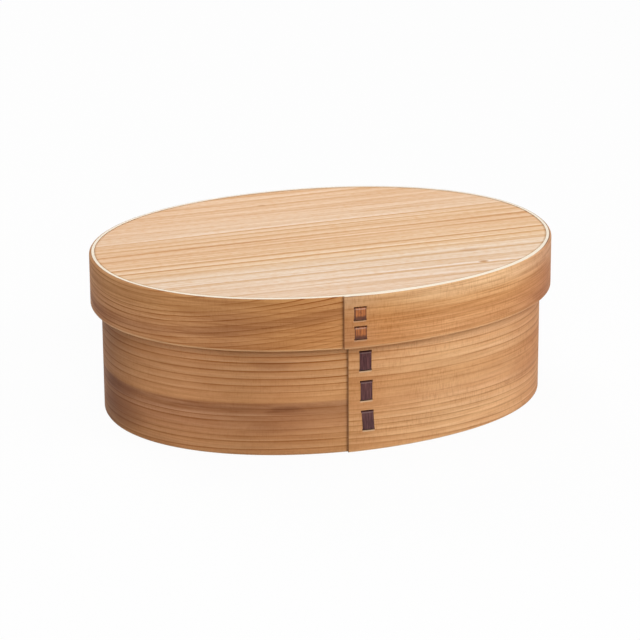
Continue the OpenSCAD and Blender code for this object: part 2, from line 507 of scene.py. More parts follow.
def stripCedar(look, sewing):
    # Straight-grained cedar that follows the bent strip. Left and right of the seam its lines differ.
    material, root = newMaterial(look["name"])
    flat = root.node("ShaderNodeAttribute", {"attribute_name": "flatGrain"}, None, "Vector")
    along, depth, height = flat.parts()
    seed = look["seed"]
    sway = (flat.noise((9, 0, 30), 1.0, seed) - 0.5) * look["sway"] + depth * look["depthSway"]
    mottle = flat.noise((70, 0, 420), 3.0, seed + 7)
    broken = flat.noise((45, 0, 250), 2.0, seed + 9).ramp(0.30, 0.60) * 0.3 + 0.7
    fade = (flat.noise((9, 0, 130), 2.0, seed + 3).ramp(0.30, 0.62) * 0.65 + 0.35) * broken
    leftShare = along.ramp(*look["leftFrom"])
    sides = (
        (leftShare, height - along.ramp(*look["climbFrom"]) * look["climb"] + sway, look["left"]),
        (1 - leftShare, height + along.ramp(*look["fallFrom"]) * look["fall"] + sway, look["right"]),
    )
    late = soft = pale = 0.0
    tones = []
    for share, level, side in sides:
        through, ending, before = grainRings(level, side["rings"], look["lineSharp"])
        tones.append(level.stops(side["tones"]))
        uneven = through + (mottle - 0.5) * 0.1
        late = uneven.ramp(0.76, 0.94) * ending * fade * share * side["contrast"] + late
        soft = through.ramp(0.15, 1.0) * ending * share + soft
        pale = through.ramp(0.6, 0.1) * before * fade * share + pale

    streak = flat.noise((14, 0, 620), 2.0, seed + 5)
    fibre = flat.noise((40, 500, 1900), 3.0)
    cloud = flat.noise((16, 0, 70), 2.0, seed + 11)
    patch = flat.noise((40, 0, 90), 2.0, seed + 15).ramp(0.38, 0.62) * 0.8 + 0.2
    pores = flat.noise((1800, 0, 320), 2.0, 5).ramp(0.45, 0.70) * patch
    speck = flat.noise((500, 0, 1000), 2.0, seed + 13)
    leftLevel = sides[0][1]
    heart = leftLevel.ramp(*look["heartFoot"]) * leftLevel.ramp(*look["heartTop"]) * leftShare
    # The wood's tones across the strip times those along it. Those along it also hold painted shade at the
    # front's ends.
    wood = root.node(
        "ShaderNodeVectorMath",
        {"operation": "MULTIPLY"},
        {0: leftShare.mix(tones[1], tones[0]), 1: along.stops(look["lengthTonesAndShade"])},
    )
    lateTint = look["lateTint"]
    wood = tinted(wood, (
        (pale * look["paleBand"], look["paleTint"]),
        (soft * look["softBand"], lateTint),
        (cloud.ramp(0.42, 0.72) * look["clouds"], look["cloudTint"]),
        (mottle.ramp(0.40, 0.70) * (heart * look["heart"] + look["mottles"]), look["mottleTint"]),
        (streak.ramp(0.40, 0.68) * (heart * look["heart"] + look["streaks"]), lateTint),
        (fibre.ramp(0.35, 0.75) * look["fibres"], lateTint),
        (pores * look["pores"] * (1 - leftShare * look["fewerLeft"]), lateTint),
        (speck.ramp(0.48, 0.72) * look["specks"], lateTint),
        (speck.ramp(0.48, 0.28) * look["specks"], look["paleTint"]),
        (late, lateTint),
    ))
    # Dark ovals: stains in the wood, and on the body one oval of painted shadow from the lid.
    stainAndShadowAlong = along + (mottle - 0.5) * look["stainAndShadowRagged"]
    wood = spotted(wood, stainAndShadowAlong, height + sway, look["stainsAndShadows"], look["stainAndShadowTint"])

    # The strip's paler edges, a dark line beside the lip's, and paler wood below each stitch.
    rim = height.ramp(*look["rimLine"]) * look["rimShade"] * (1 - leftShare * look["rimLeft"])
    wood = rim.mix(wood, look["seam"])
    lipHeight = height
    for start, end, wider in look["widerLip"]:
        lipHeight = along.ramp(*start) * along.ramp(*end) * wider + lipHeight
    wood = lipHeight.ramp(*look["lipEdge"]).mix(wood, look["edgeWood"])
    wood = (height.ramp(*look["plainEdge"]) * fade * look["plainShare"]).mix(wood, look["plainWood"])
    for (low, high), shift, lean in zip(stitchRows(sewing), sewing["shift"], sewing["lean"]):
        offStitch = along - (sewing["seamToMiddle"] + shift + lean)
        nearStitch = offStitch.math("ABSOLUTE", offStitch).ramp(*look["tornHalf"])
        aboveFoot = height - low
        torn = aboveFoot.ramp(*look["tornFoot"]) * aboveFoot.ramp(*look["tornTop"])
        wood = (torn * nearStitch * look["torn"]).mix(wood, look["edgeWood"])

    # The shadow where the outer end lies on the layer under it, and the dark glue on that end.
    fromSeam = along - look["seamAt"]
    under = fromSeam.ramp(*look["seamBefore"]) * fromSeam.ramp(*look["seamPast"])
    seam = (under * depth.ramp(*look["seamDepth"])).larger(along.ramp(*look["endGlue"]))
    wood = (seam * look["seamShade"]).mix(wood, look["seam"])

    bump = root.node(
        "ShaderNodeBump", None, {"Height": fibre * 0.6 - late * 0.5, "Strength": 0.25, "Distance": 0.08 * mm},
    )
    finishMaterial(root, {
        "Base Color": wood,
        "Roughness": fibre * 0.12 + look["roughness"],
        "Specular IOR Level": look["specular"],
        "Normal": bump,
    })
    return material


bothStrips = {
    "slot": "strip_cedar",
    "wall": 3.2 * mm,
    "lip": 2 * mm,
    "lipThin": 0.1 * mm,
    "holdLoop": 0.9 * mm,
    "lapSteps": 14,
    "levelOver": 1.5 * mm,
    "levelled": 0.93,
    "weld": 0.03 * mm,
}
bothSewings = {
    "crown": 0.12 * mm,
    "width": 4.5 * mm,
    "thickness": 0.5 * mm,
    "lift": 0.05 * mm,
    "tail": 2.5 * mm,
    "fit": 0.1 * mm,
    "past": 0.2 * mm,
    "slitOpen": 0.3 * mm,
    "grooveDepth": 0.68 * mm,
    "foldRound": 0.26 * mm,
    "cutsAcross": 9,
    "cutsAlong": 5,
    "longRun": 3 * mm,
}
bothCedars = {
    "sway": 2.2 * mm,
    "depthSway": 0.4,
    "leftFrom": (190 * mm, 300 * mm),
    "lineSharp": 0.15 * mm,
    "stainAndShadowRagged": 30 * mm,
    "lateTint": (0.56, 0.38, 0.21, 1),
    "mottleTint": (0.84, 0.76, 0.68, 1),
    "clouds": 0.45,
    "mottles": 0.4,
    "pores": 0.29,
    "fewerLeft": 0.5,
    "rimLeft": 0.7,
    "tornHalf": (2.6 * mm, 2.2 * mm),
    "tornFoot": (-0.7 * mm, -0.35 * mm),
    "tornTop": (0.1 * mm, -0.1 * mm),
    "seamBefore": (-0.9 * mm, 0),
    "seamPast": (1.2 * mm, 0),
    "seamDepth": (-0.8 * mm, -0.2 * mm),
    "endGlue": (0.4 * mm, 0.1 * mm),
    "seamShade": 0.5,
    "roughness": 0.52,
    "specular": 0.08,
}

bodyStrip = {
    **bothStrips,
    "name": "bodyStrip",
    "node": "body_strip",
    "body": "box_body",
    "seamX": -11 * mm,
    "off": 0.0,
    "lipEnd": bodyLow.z,
    "ledge": 6 * mm,
    "plainEnd": bodyHigh.z,
    "round": {"lipOuter": 0.6 * mm, "plainOuter": 0.5 * mm, "plainInner": 0.5 * mm, "lipInner": 0.2 * mm},
    "steps": 290,
}
bodySewing = {
    **bothSewings,
    "name": "bodyBark",
    "node": "body_bark",
    "body": "box_body",
    "slot": "dark_bark",
    "heights": (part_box("body_bark")[0].z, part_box("body_bark")[1].z),
    "count": 3,
    "gap": 4.1 * mm,
    "seamToMiddle": 6.8 * mm,
    "shift": (-0.2 * mm, 0.15 * mm, 0.5 * mm),
    "lean": (0.0, 0.0, 0.5 * mm),
}
bodyPath = makePath(bodyStrip)
bodySeam = lengthAt(bodyPath, bodyPath["start"] + 2 * math.pi)
bodyCedar = {
    **bothCedars,
    "name": "bodyCedar",
    "seed": 3.0,
    "climb": 2 * mm,
    "climbFrom": (bodySeam - 130 * mm, bodySeam + 30 * mm),
    "fall": 3.5 * mm,
    "fallFrom": (-40 * mm, 120 * mm),
    "left": {
        "contrast": 0.95,
        "rings": (
            (-1.5 * mm, 0.5), (1.3 * mm, 0.7), (4.5 * mm, 0.65), (6.6 * mm, 0.55), (9.0 * mm, 0.75),
            (12.4 * mm, 0.7), (14.2 * mm, 0.8), (17.0 * mm, 0.35), (21.4 * mm, 0.2), (23.4 * mm, 0.9),
            (26.1 * mm, 1.15), (28.8 * mm, 1.1), (31.9 * mm, 1.05), (35.2 * mm, 1.1), (37.6 * mm, 1.1),
            (41.5 * mm, 0.5),
        ),
        "tones": (
            (-4 * mm, (0.635, 0.325, 0.143, 1)),
            (4 * mm, (0.62, 0.308, 0.136, 1)),
            (10 * mm, (0.56, 0.266, 0.122, 1)),
            (15.5 * mm, (0.505, 0.242, 0.116, 1)),
            (17.2 * mm, (0.46, 0.215, 0.102, 1)),
            (18.7 * mm, (0.48, 0.223, 0.102, 1)),
            (19.6 * mm, (0.66, 0.326, 0.142, 1)),
            (26 * mm, (0.645, 0.32, 0.139, 1)),
            (32 * mm, (0.595, 0.292, 0.127, 1)),
            (60 * mm, (0.595, 0.292, 0.127, 1)),
        ),
    },
    "right": {
        "contrast": 0.82,
        "rings": (
            (0 * mm, 0.5), (3.7 * mm, 0.6), (5.9 * mm, 0.65), (8.8 * mm, 0.7), (10.9 * mm, 0.8),
            (12.8 * mm, 0.9), (15.6 * mm, 0.7), (17.5 * mm, 0.7), (21.2 * mm, 0.25), (25.3 * mm, 0.45),
            (27.9 * mm, 0.4), (30.2 * mm, 0.8), (33.2 * mm, 1.0), (36.5 * mm, 0.8), (39.6 * mm, 0.7),
            (43.5 * mm, 0.6),
        ),
        "tones": (
            (-4 * mm, (0.915, 0.535, 0.27, 1)),
            (12 * mm, (0.925, 0.55, 0.282, 1)),
            (20 * mm, (0.86, 0.473, 0.232, 1)),
            (25 * mm, (0.875, 0.49, 0.236, 1)),
            (28.5 * mm, (0.79, 0.415, 0.187, 1)),
            (32 * mm, (0.875, 0.507, 0.255, 1)),
            (64 * mm, (0.855, 0.478, 0.235, 1)),
        ),
    },
    # Tones along the strip from its outer end: the wood's own tone, with painted shade that darkens the
    # front's two ends, where the strip turns away from the light.
    "lengthTonesAndShade": (
        (0 * mm, (0.74, 0.67, 0.58, 1)),
        (5 * mm, (0.76, 0.695, 0.615, 1)),
        (14 * mm, (0.835, 0.79, 0.725, 1)),
        (42 * mm, (0.96, 0.99, 0.99, 1)),
        (69 * mm, (1.0, 1.0, 1.0, 1)),
        (95 * mm, (0.885, 0.76, 0.69, 1)),
        (130 * mm, (0.93, 0.86, 0.83, 1)),
        (200 * mm, (0.97, 0.95, 0.94, 1)),
        (bodySeam - 200 * mm, (0.95, 0.95, 0.97, 1)),
        (bodySeam - 130 * mm, (0.69, 0.67, 0.69, 1)),
        (bodySeam - 103 * mm, (0.69, 0.67, 0.68, 1)),
        (bodySeam - 80 * mm, (0.97, 0.98, 1.0, 1)),
        (bodySeam - 60 * mm, (1.03, 1.05, 1.07, 1)),
        (bodySeam - 40 * mm, (0.855, 0.86, 0.84, 1)),
        (bodySeam - 22 * mm, (0.91, 0.90, 0.87, 1)),
        (bodySeam - 6 * mm, (1.03, 1.08, 1.06, 1)),
    ),
    "stainsAndShadows": (
        ((bodySeam - 24 * mm, 18.2 * mm), (10 * mm, 1.8 * mm), 0.7),
        ((bodySeam - 56 * mm, 18.1 * mm), (11 * mm, 1.8 * mm), 0.4),
        ((bodySeam - 99 * mm, 17 * mm), (20 * mm, 4 * mm), 0.8),
        ((bodySeam - 30 * mm, 10.7 * mm), (14 * mm, 3 * mm), 0.35),
        ((bodySeam - 97 * mm, 7.5 * mm), (24 * mm, 7 * mm), 0.75),
        # Painted shadow: the lid's shadow on the body, a little below its lower edge, left of the seam.
        ((bodySeam - 29 * mm, 35.3 * mm), (12 * mm, 2.6 * mm), 0.5),
        ((82 * mm, 14.5 * mm), (18 * mm, 3 * mm), 0.3),
    ),
    "stainAndShadowTint": (0.66, 0.58, 0.56, 1),
    "heartFoot": (13 * mm, 16.5 * mm),
    "heartTop": (19.6 * mm, 18.2 * mm),
    "heart": 0.35,
    "paleTint": (1.12, 1.24, 1.45, 1),
    "cloudTint": (0.80, 0.74, 0.72, 1),
    "paleBand": 0.7,
    "softBand": 0.13,
    "streaks": 0.24,
    "fibres": 0.24,
    "specks": 0.1,
    "edgeWood": (0.90, 0.72, 0.50, 1),
    "plainWood": (0.87, 0.64, 0.40, 1),
    "widerLip": (((10 * mm, 25 * mm), (110 * mm, 80 * mm), -0.15 * mm),),
    "lipEdge": (0.4 * mm, 0.1 * mm),
    "plainEdge": (bodyHigh.z - 0.5 * mm, bodyHigh.z - 0.1 * mm),
    "plainShare": 0.5,
    "rimLine": (0.6 * mm, 0.4 * mm),
    "rimShade": 0.1,
    "torn": 0.4,
    "seamAt": bodySeam,
    "seam": (0.06, 0.028, 0.015, 1),
}

lidStrip = {
    **bothStrips,
    "name": "lidStrip",
    "node": "lid_strip",
    "body": "lid",
    "seamX": -13.45 * mm,
    "off": lidHigh.x - bodyHigh.x,
    "lipEnd": lidHigh.z,
    "ledge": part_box("lid_board")[0].z,
    "plainEnd": lidLow.z,
    "round": {"lipOuter": 1.1 * mm, "plainOuter": 0.4 * mm, "plainInner": 0.4 * mm, "lipInner": 0.1 * mm},
    "steps": 330,
}
lidSewing = {
    **bothSewings,
    "name": "lidBark",
    "node": "lid_bark",
    "body": "lid",
    "slot": "light_bark",
    "heights": (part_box("lid_bark")[0].z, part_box("lid_bark")[1].z),
    "count": 2,
    "gap": 2.4 * mm,
    "seamToMiddle": 5.8 * mm,
    "shift": (0.1 * mm, 0.3 * mm),
    "lean": (0.0, 0.0),
}
lidPath = makePath(lidStrip)
lidSeam = lengthAt(lidPath, lidPath["start"] + 2 * math.pi)
lidCedar = {
    **bothCedars,
    "name": "lidCedar",
    "seed": 41.0,
    "climb": 12.7 * mm,
    "climbFrom": (lidSeam - 90 * mm, lidSeam + 40 * mm),
    "fall": 2 * mm,
    "fallFrom": (-40 * mm, 140 * mm),
    "left": {
        "contrast": 0.95,
        "rings": (
            (36 * mm, 0.5), (37.8 * mm, 0.6), (40.3 * mm, 0.65), (41.8 * mm, 0.8), (44.3 * mm, 0.75),
            (46.1 * mm, 0.9), (48.5 * mm, 0.75), (50.7 * mm, 1.2), (52.8 * mm, 1.25), (54.4 * mm, 1.35),
            (56.8 * mm, 0.75), (59.9 * mm, 0.65), (61.4 * mm, 0.6), (63 * mm, 0.5),
        ),
        "tones": (
            (34 * mm, (0.67, 0.325, 0.142, 1)),
            (43.8 * mm, (0.65, 0.318, 0.14, 1)),
            (45.6 * mm, (0.55, 0.26, 0.117, 1)),
            (47.8 * mm, (0.545, 0.255, 0.113, 1)),
            (49.2 * mm, (0.635, 0.312, 0.137, 1)),
            (52 * mm, (0.675, 0.337, 0.147, 1)),
            (55.5 * mm, (0.64, 0.32, 0.132, 1)),
            (64 * mm, (0.635, 0.318, 0.13, 1)),
        ),
    },
    "right": {
        "contrast": 0.5,
        "rings": (
            (40 * mm, 0.4), (45.8 * mm, 0.4), (48.1 * mm, 0.4), (51.1 * mm, 0.45), (53.3 * mm, 0.35),
            (55.0 * mm, 0.45), (57.9 * mm, 0.3), (60.8 * mm, 0.2), (65 * mm, 0.3),
        ),
        "tones": (
            (40 * mm, (0.82, 0.45, 0.212, 1)),
            (48 * mm, (0.80, 0.424, 0.194, 1)),
            (54 * mm, (0.80, 0.42, 0.177, 1)),
            (57.3 * mm, (0.90, 0.53, 0.255, 1)),
            (60.5 * mm, (0.96, 0.64, 0.365, 1)),
            (66 * mm, (0.945, 0.625, 0.355, 1)),
        ),
    },
    # Tones along the strip from its outer end: the wood's own tone, with painted shade that darkens the
    # front's ends, where the strip turns away from the light.
    "lengthTonesAndShade": (
        (0 * mm, (0.70, 0.63, 0.60, 1)),
        (5 * mm, (0.74, 0.67, 0.62, 1)),
        (16 * mm, (0.84, 0.76, 0.65, 1)),
        (42 * mm, (1.02, 1.02, 1.01, 1)),
        (70 * mm, (1.02, 0.985, 0.95, 1)),
        (100 * mm, (0.825, 0.685, 0.69, 1)),
        (135 * mm, (0.90, 0.82, 0.82, 1)),
        (200 * mm, (0.95, 0.93, 0.92, 1)),
        (lidSeam - 200 * mm, (0.97, 0.97, 0.97, 1)),
        (lidSeam - 106 * mm, (0.97, 0.98, 1.0, 1)),
        (lidSeam - 84 * mm, (0.975, 1.0, 1.03, 1)),
        (lidSeam - 64 * mm, (1.03, 1.06, 1.05, 1)),
        (lidSeam - 42 * mm, (0.83, 0.81, 0.76, 1)),
        (lidSeam - 22 * mm, (0.90, 0.88, 0.74, 1)),
        (lidSeam - 6 * mm, (0.97, 0.96, 0.82, 1)),
    ),
    "stainsAndShadows": (
        ((lidSeam - 106 * mm, 44.5 * mm), (16 * mm, 3.5 * mm), 0.7),
        ((lidSeam - 45 * mm, 55.3 * mm), (24 * mm, 3 * mm), 0.45),
        ((98 * mm, 44.5 * mm), (14 * mm, 3.5 * mm), 0.5),
    ),
    "stainAndShadowTint": (0.70, 0.60, 0.54, 1),
    "heartFoot": (43.8 * mm, 46 * mm),
    "heartTop": (49.5 * mm, 48 * mm),
    "heart": 0.15,
    "paleTint": (1.10, 1.20, 1.38, 1),
    "cloudTint": (0.82, 0.77, 0.74, 1),
    "paleBand": 0.45,
    "softBand": 0.08,
    "streaks": 0.32,
    "fibres": 0.46,
    "specks": 0.12,
    "edgeWood": (0.94, 0.84, 0.69, 1),
    "plainWood": (0.85, 0.58, 0.32, 1),
    "widerLip": (
        ((2 * mm, 15 * mm), (110 * mm, 80 * mm), 0.19 * mm),
        ((lidSeam - 80 * mm, lidSeam - 40 * mm), (lidSeam + 90 * mm, lidSeam + 70 * mm), 0.09 * mm),
    ),
    "lipEdge": (lidHigh.z - 0.06 * mm, lidHigh.z - 0.01 * mm),
    "plainEdge": (lidLow.z + 0.8 * mm, lidLow.z + 0.45 * mm),
    "plainShare": 0.4,
    "rimLine": (lidHigh.z - 0.25 * mm, lidHigh.z - 0.08 * mm),
    "rimShade": 0.65,
    "torn": 0.12,
    "seamAt": lidSeam,
    "seam": (0.07, 0.03, 0.016, 1),
}

for strip, path, sewing, look in (
    (bodyStrip, bodyPath, bodySewing, bodyCedar),
    (lidStrip, lidPath, lidSewing, lidCedar),
):
    stripMesh = flatStrip(strip, path)
    sewSlits(stripMesh, strip, path, sewing)
    bendStrip(stripMesh, strip, path)
    finishPiece(stripMesh, strip, stripCedar(look, sewing))


def barkSheet(sewing):
    # The bark as a folded sheet: X is across it, Y the depth of its middle and Z the height.
    bm = bmesh.new()
    half = sewing["thickness"] / 2
    inside = sewing["innerFace"] + half
    outside = sewing["outerFace"] + sewing["lift"] + half
    rows = stitchRows(sewing)
    fold = [(inside, rows[0][1] - sewing["tail"])]
    for low, high in rows:
        fold.extend((
            (inside, high - half),
            (outside, high - half),
            (outside, low + half),
            (inside, low + half),
        ))
    fold.append((inside, rows[-1][0] + sewing["tail"]))
    points = [bm.verts.new((-sewing["width"] / 2, depth, height)) for depth, height in fold]
    edges = [bm.edges.new(pair) for pair in zip(points, points[1:])]
    copied = bmesh.ops.duplicate(bm, geom=edges)
    bmesh.ops.translate(bm, verts=movedVerts(copied["geom"]), vec=(sewing["width"], 0, 0))
    bmesh.ops.bridge_loops(bm, edges=bm.edges[:])
    creases = [edge for edge in bm.edges if len(edge.link_faces) == 2]
    bmesh.ops.bevel(
        bm, geom=creases, offset=sewing["foldRound"], segments=4, profile=0.5, affect="EDGES", material=-1,
    )
    wide = [edge for edge in bm.edges if abs(edge.verts[0].co.x - edge.verts[1].co.x) > sewing["width"] / 2]
    bmesh.ops.subdivide_edges(bm, edges=wide, cuts=sewing["cutsAcross"], use_grid_fill=True)
    tall = [edge for edge in bm.edges if abs(edge.verts[0].co.z - edge.verts[1].co.z) > sewing["longRun"]]
    bmesh.ops.subdivide_edges(bm, edges=tall, cuts=sewing["cutsAlong"], use_grid_fill=True)
    return bm


def bendBark(bm, strip, path, sewing):
    # Rounds the stitches, gives the sheet its thickness and lays it round the oval.
    rows = stitchRows(sewing)
    deep = sewing["outerFace"] - sewing["innerFace"]
    for vert in bm.verts:
        outward = min(max((vert.co.y - sewing["innerFace"]) / deep, 0), 1)
        if outward > 0.5:
            across = 2 * vert.co.x / sewing["width"]
            vert.co.y -= sewing["crown"] * across ** 2
        for (low, high), shift, lean in zip(rows, sewing["shift"], sewing["lean"]):
            if low <= vert.co.z <= high:
                vert.co.x += outward * (shift + lean * (high - vert.co.z) / (high - low))
    bmesh.ops.recalc_face_normals(bm, faces=bm.faces[:])
    bmesh.ops.solidify(bm, geom=bm.faces[:], thickness=sewing["thickness"])
    grain = bm.verts.layers.float_vector.new("flatGrain")
    place = lengthAt(path, frontAngle(strip["seamX"] + sewing["seamToMiddle"]))
    centre = layerFaces(path, strip["wall"], angleAt(path, place))[0]
    for vert in bm.verts:
        vert[grain] = vert.co
        across, depth, height = vert.co
        angle = angleAt(path, place + across)
        slope = layerFaces(path, strip["wall"], angle)[0] - centre
        point = beside(angle, strip["off"] + depth + slope)
        vert.co = (point.x, point.y, height)
    for face in bm.faces:
        face.smooth = True


def cherryBark(look, sewing):
    # Polished bark with fine streaks along the strip, darker where it goes into the wood: its own colour and
    # painted shade.
    material, root = newMaterial(look["name"])
    flat = root.node("ShaderNodeAttribute", {"attribute_name": "flatGrain"}, None, "Vector")
    across, depth, height = flat.parts()
    streak = flat.noise((2600, 0, 160), 3.0, look["seed"])
    blotch = flat.noise((700, 0, 420), 2.0, look["seed"] + 4)
    colour = streak.ramp(0.35, 0.7).mix(look["base"], look["streak"])
    colour = (blotch.ramp(0.55, 0.75) * look["blotches"]).mix(colour, look["dark"])
    rows = stitchRows(sewing)
    middles = [(low + high) / 2 for low, high in rows]
    # Each stitch's own tone. On the second and third body stitches it also carries a painted sheen.
    rowTonesAndSheen = height.stops(sorted(zip(middles, look["rowTonesAndSheen"])))
    colour = root.node("ShaderNodeVectorMath", {"operation": "MULTIPLY"}, {0: colour, 1: rowTonesAndSheen})
    ragged = height + (blotch - 0.5) * look["ragged"]
    footShade = look["footShade"]
    # Each stitch darkens at its foot and head: the bark's own darker ends and painted shade where it turns
    # into the slits.
    for low, high in rows:
        foot = ragged.ramp(low + footShade, low + footShade / 2) * height.ramp(low - look["inWood"], low)
        head = ragged.ramp(high - look["headShade"], high) * height.ramp(high + look["inWood"], high)
        colour = (foot.larger(head) * look["endShade"]).mix(colour, look["dark"])
        # A painted highlight on each stitch's rounded upper shoulder, where it folds into its slit.
        aboveHead = height - high
        shoulderHighlight = aboveHead.ramp(*look["paintedHighlightFoot"]) * aboveHead.ramp(*look["paintedHighlightTop"])
        colour = (shoulderHighlight * look["paintedHighlightShare"]).mix(colour, look["paintedHighlight"])
    side = across.ramp(*look["leftSide"]).larger(across.ramp(*look["rightSide"]) * look["rightShare"])
    colour = (side * look["sideShade"]).mix(colour, look["dark"])
    bump = root.node("ShaderNodeBump", None, {"Height": streak, "Strength": 0.3, "Distance": 0.06 * mm})
    finishMaterial(root, {
        "Base Color": colour,
        "Roughness": streak * 0.2 + look["roughness"],
        "Specular IOR Level": look["specular"],
        "Normal": bump,
    })
    return material


bothBarks = {
    "inWood": 0.3 * mm,
    "endShade": 0.85,
    # Where the painted highlight lies, just below the top of each stitch.
    "paintedHighlightFoot": (-0.9 * mm, -0.6 * mm),
    "paintedHighlightTop": (-0.2 * mm, -0.5 * mm),
    "leftSide": (-1.4 * mm, -2.1 * mm),
    "rightSide": (1.8 * mm, 2.2 * mm),
    "rightShare": 0.6,
}
darkBark = {
    **bothBarks,
    "name": "darkBark",
    "seed": 2.0,
    # From the top stitch down. The second and third are paler and bluer: their own tone and a painted sheen.
    "rowTonesAndSheen": ((0.96, 0.88, 0.90, 1), (1.22, 1.28, 1.20, 1), (1.02, 1.12, 1.12, 1)),
    "base": (0.058, 0.017, 0.019, 1),
    "streak": (0.135, 0.052, 0.050, 1),
    "dark": (0.022, 0.009, 0.009, 1),
    "blotches": 0.4,
    "ragged": 0.5 * mm,
    "footShade": 0.6 * mm,
    "headShade": 0.2 * mm,
    "sideShade": 0.2,
    "paintedHighlight": (0.26, 0.17, 0.16, 1),
    "paintedHighlightShare": 0.5,
    "roughness": 0.30,
    "specular": 0.25,
}
lightBark = {
    **bothBarks,
    "name": "lightBark",
    "seed": 9.0,
    "rowTonesAndSheen": ((1.08, 1.02, 1.02, 1), (0.96, 0.90, 0.90, 1)),
    "base": (0.24, 0.075, 0.026, 1),
    "streak": (0.58, 0.205, 0.05, 1),
    "dark": (0.085, 0.027, 0.016, 1),
    "blotches": 0.8,
    "ragged": 1.4 * mm,
    "footShade": 2.3 * mm,
    "headShade": 0.3 * mm,
    "sideShade": 0.9,
    "paintedHighlight": (0.62, 0.42, 0.33, 1),
    "paintedHighlightShare": 0.45,
    "roughness": 0.32,
    "specular": 0.3,
}
for strip, path, sewing, look in (
    (bodyStrip, bodyPath, bodySewing, darkBark),
    (lidStrip, lidPath, lidSewing, lightBark),
):
    share = sewing["seamToMiddle"] / lap["length"]
    sewing["outerFace"] = lapStep * (1 - share)
    sewing["innerFace"] = -strip["wall"] - lapStep * share
    barkMesh = barkSheet(sewing)
    bendBark(barkMesh, strip, path, sewing)
    finishPiece(barkMesh, sewing, cherryBark(look, sewing))


def boardCedar(look):
    # Quarter-sawn cedar: rings across the board, each pale where it starts and dark where it ends.
    material, root = newMaterial(look["name"])
    axes = root.node("ShaderNodeTexCoord", None, None, "Object").parts()
    along, across, through = [axes[axis] for axis in look["grainAxes"]]
    flat = root.node("ShaderNodeCombineXYZ", None, {"X": along, "Y": across, "Z": through})
    seed = look["seed"]

    sway = (flat.noise((8, 12, 4), 1.0, seed) - 0.5) * look["sway"]
    tilt = across * look["fan"] + look["slant"]
    level = across - along * tilt + sway + (through - look["face"]) * look["depthSway"]
    way, ending, before = grainRings(level, look["rings"], look["lineSharp"])
    fade = flat.noise((11, 150, 60), 2.0, seed + 2).ramp(0.28, 0.6) * 0.5 + 0.5
    late = way.ramp(0.62, 0.95) * ending * fade
    pale = way.ramp(0.55, 0.1) * before * fade
    streak = flat.noise((9, 420, 300), 2.0, seed + 4)
    fine = flat.noise((14, 1100, 600), 2.0, seed + 6)
    fibre = flat.noise((45, 2600, 2600), 3.0, seed)
    cloud = flat.noise((10, 40, 20), 2.0, seed + 8)
    speck = flat.noise((380, 800, 500), 2.0, seed + 10)

    wood = root.node(
        "ShaderNodeVectorMath",
        {"operation": "MULTIPLY"},
        {0: level.stops(look["tones"]), 1: along.stops(look["lengthTonesAndShade"])},
    )
    lateTint = look["lateTint"]
    wood = tinted(wood, (
        (cloud.ramp(0.42, 0.72) * look["clouds"], look["cloudTint"]),
        (pale * look["paleBand"], look["paleTint"]),
        (way.ramp(0.28, 0.08) * before * fade * look["paleLine"], look["paleTint"]),
        (way.ramp(0.1, 1.0) * ending * look["softBand"], lateTint),
        (streak.ramp(0.38, 0.68) * look["streaks"], lateTint),
        (fine.ramp(0.48, 0.72) * look["fineStreaks"], lateTint),
        (fine.ramp(0.50, 0.30) * look["paleStreaks"], look["paleTint"]),
        (fibre.ramp(0.35, 0.75) * look["fibres"], lateTint),
        (speck.ramp(0.48, 0.72) * look["specks"], look["speckTint"]),
        (speck.ramp(0.48, 0.28) * look["specks"], look["paleTint"]),
        (late * look["contrast"], lateTint),
    ))
    wood = spotted(wood, along, across, look["flecks"], look["fleckTint"])
    # The joint with the strip darkens: a dark glue line and painted shadow.
    joint = root.node("ShaderNodeAttribute", {"attribute_name": "joint"}, None, "Fac")
    wood = (joint.ramp(0.1, 1.0) * look["jointShade"]).mix(wood, look["jointGlueAndShadowTint"], "MULTIPLY")

    bump = root.node(
        "ShaderNodeBump", None, {"Height": fibre * 0.6 - late * 0.5, "Strength": 0.2, "Distance": 0.06 * mm},
    )
    finishMaterial(root, {
        "Base Color": wood,
        "Roughness": fibre * 0.12 + look["roughness"],
        "Specular IOR Level": look["specular"],
        "Normal": bump,
    })
    return material


def ovalBoard(board):
    # An oval board with eased rims.
    bm = bmesh.new()
    bmesh.ops.create_circle(bm, cap_ends=True, segments=board["steps"], radius=1)
    for vert in bm.verts:
        place = beside(math.atan2(vert.co.y, vert.co.x), board["off"])
        vert.co = (place.x, place.y, board["low"])
    top = bmesh.ops.extrude_face_region(bm, geom=bm.faces[:])
    bmesh.ops.translate(bm, verts=movedVerts(top["geom"]), vec=(0, 0, board["high"] - board["low"]))
    rims = [edge for edge in bm.edges if abs(edge.verts[0].co.z - edge.verts[1].co.z) < tiny]
    bmesh.ops.bevel(
        bm, geom=rims, offset=board["round"], segments=3, profile=0.5, affect="EDGES", material=-1,
    )
    # A narrow band round each side, so that the material can darken the joint with the strip: a glue line and
    # painted shadow.
    sides = [face for face in bm.faces if len(face.verts) > 4]
    bmesh.ops.inset_region(bm, faces=sides, thickness=board["joint"], use_even_offset=True)
    joint = bm.verts.layers.float.new("joint")
    inner = {vert for face in sides for vert in face.verts}
    for vert in bm.verts:
        vert[joint] = 0.0 if vert in inner else 1.0
    for face in bm.faces:
        face.smooth = len(face.verts) == 4
    return bm


